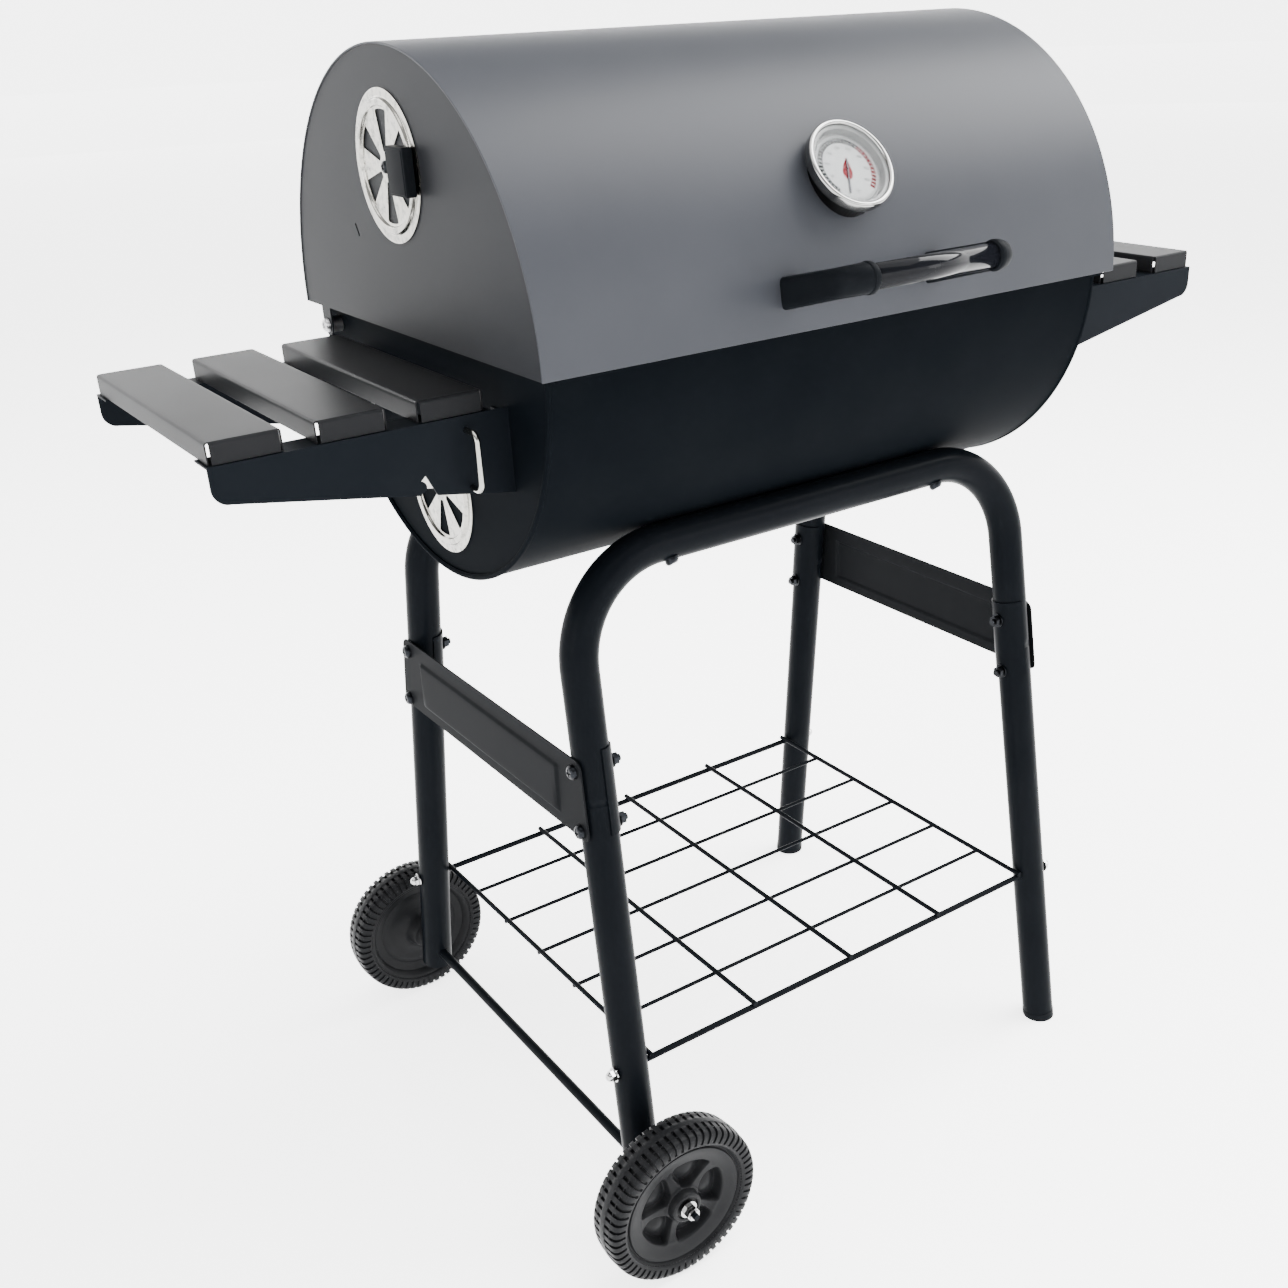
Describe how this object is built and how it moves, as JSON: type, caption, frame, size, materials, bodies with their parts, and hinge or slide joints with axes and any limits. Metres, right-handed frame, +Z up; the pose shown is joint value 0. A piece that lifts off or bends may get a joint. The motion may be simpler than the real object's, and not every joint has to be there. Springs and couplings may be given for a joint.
{
  "type": "barrel charcoal grill cart",
  "caption": "Barrel charcoal grill with a hinged lid, air dampers, lid thermometer and slatted side shelves, on a wheeled tube cart with a wire shelf.",
  "frame": {"origin": "on the floor under the middle of the grill (bottom centre of the bounding box)", "axes": "+X along the barrel to the user's right, -Y to the front where the handle is, +Z up"},
  "size_m": [1.02, 0.606, 1.025],
  "materials": {
    "lid_paint": "satin charcoal powder coat",
    "barrel_paint": "satin black heat-proof coat",
    "frame_paint": "satin black powder coat",
    "shelf_paint": "satin charcoal powder coat",
    "black_hardware": "black zinc plate",
    "zinc_hardware": "bright zinc plate",
    "shelf_wire": "black powder coat",
    "axle_steel": "black coated steel rod",
    "bright_nuts": "bright chrome plate",
    "loop_steel": "bright steel wire",
    "grate_wire": "nickel-plated wire",
    "disc_steel": "pressed stainless steel",
    "black_plastic": "matte black heat-proof plastic",
    "tube_black": "gloss black coat",
    "gauge_case": "dark lacquered steel",
    "gauge_bezel": "polished chrome",
    "gauge_dial": "white printed dial",
    "gauge_needle": "black lacquer",
    "gauge_glass": "clear flat glass",
    "wheel_plastic": "moulded black plastic"
  },
  "bodies": {
    "cart": {"firebox_shell": "barrel_paint", "firebox_end_left": "barrel_paint", "firebox_end_right": "barrel_paint", "front_top_tube": "frame_paint", "rear_top_tube": "frame_paint", "leg_front_left": "frame_paint", "leg_front_right": "frame_paint", "leg_rear_left": "frame_paint", "leg_rear_right": "frame_paint", "end_panel_left": "frame_paint", "end_panel_right": "frame_paint", "leg_clamps": "frame_paint", "frame_bolts": "black_hardware", "frame_nuts": "black_hardware", "barrel_bolts": "black_hardware", "foot_caps": "black_plastic", "wire_shelf": "shelf_wire", "shelf_cap_nuts": "bright_nuts", "axle": "axle_steel", "axle_nuts": "bright_nuts", "slat_left_outer": "shelf_paint", "slat_left_middle": "shelf_paint", "slat_left_inner": "shelf_paint", "slat_right_outer": "shelf_paint", "slat_right_middle": "shelf_paint", "slat_right_inner": "shelf_paint", "bracket_left_front": "shelf_paint", "bracket_left_rear": "shelf_paint", "bracket_right_front": "shelf_paint", "bracket_right_rear": "shelf_paint", "slat_screws": "zinc_hardware", "bracket_bolts": "zinc_hardware", "tool_loop": "loop_steel", "lower_vent_screw": "black_hardware", "cooking_grate_left": "grate_wire", "cooking_grate_right": "grate_wire", "grate_supports": "grate_wire", "charcoal_grate": "grate_wire", "hinge_screws": "zinc_hardware", "hinge_bushes": "zinc_hardware"},
    "lid": {"lid_shell": "lid_paint", "lid_end_left": "lid_paint", "lid_end_right": "lid_paint", "handle_tube": "tube_black", "handle_arm_left": "black_plastic", "handle_arm_right": "black_plastic", "handle_screws": "zinc_hardware", "upper_vent_screw": "black_hardware", "thermometer_case": "gauge_case", "thermometer_bezel": "gauge_bezel", "thermometer_dial": "gauge_dial", "thermometer_glass": "gauge_glass", "thermometer_nut": "zinc_hardware"},
    "upper_damper": {"upper_vent_disc": "disc_steel", "upper_vent_knob": "black_plastic"},
    "lower_damper": {"lower_vent_disc": "disc_steel", "lower_vent_knob": "black_plastic"},
    "needle": {"thermometer_needle": "gauge_needle"},
    "wheel_front": {"front_wheel": "wheel_plastic"},
    "wheel_rear": {"rear_wheel": "wheel_plastic"}
  },
  "joints": [
    {"name": "lid_hinge", "type": "hinge", "parent": "cart", "child": "lid", "pos_m": [0, 0.174, 0.794], "axis": [-1, 0, 0], "range_deg": [0, 80]},
    {"name": "upper_damper_turn", "type": "hinge", "parent": "lid", "child": "upper_damper", "pos_m": [-0.2935, 0, 0.938], "axis": [1, 0, 0], "range_deg": [0, 30]},
    {"name": "lower_damper_turn", "type": "hinge", "parent": "cart", "child": "lower_damper", "pos_m": [-0.282, 0, 0.682], "axis": [1, 0, 0], "range_deg": [0, 30]},
    {"name": "needle_turn", "type": "hinge", "parent": "lid", "child": "needle", "pos_m": [0, -0.18824, 0.91868], "axis": [0, 0.788, -0.6157], "range_deg": [0, 300]},
    {"name": "front_wheel_spin", "type": "hinge", "parent": "cart", "child": "wheel_front", "pos_m": [-0.26117, -0.269, 0.0785], "axis": [0, 1, 0], "continuous": true},
    {"name": "rear_wheel_spin", "type": "hinge", "parent": "cart", "child": "wheel_rear", "pos_m": [-0.26117, 0.269, 0.0785], "axis": [0, 1, 0], "continuous": true}
  ]
}
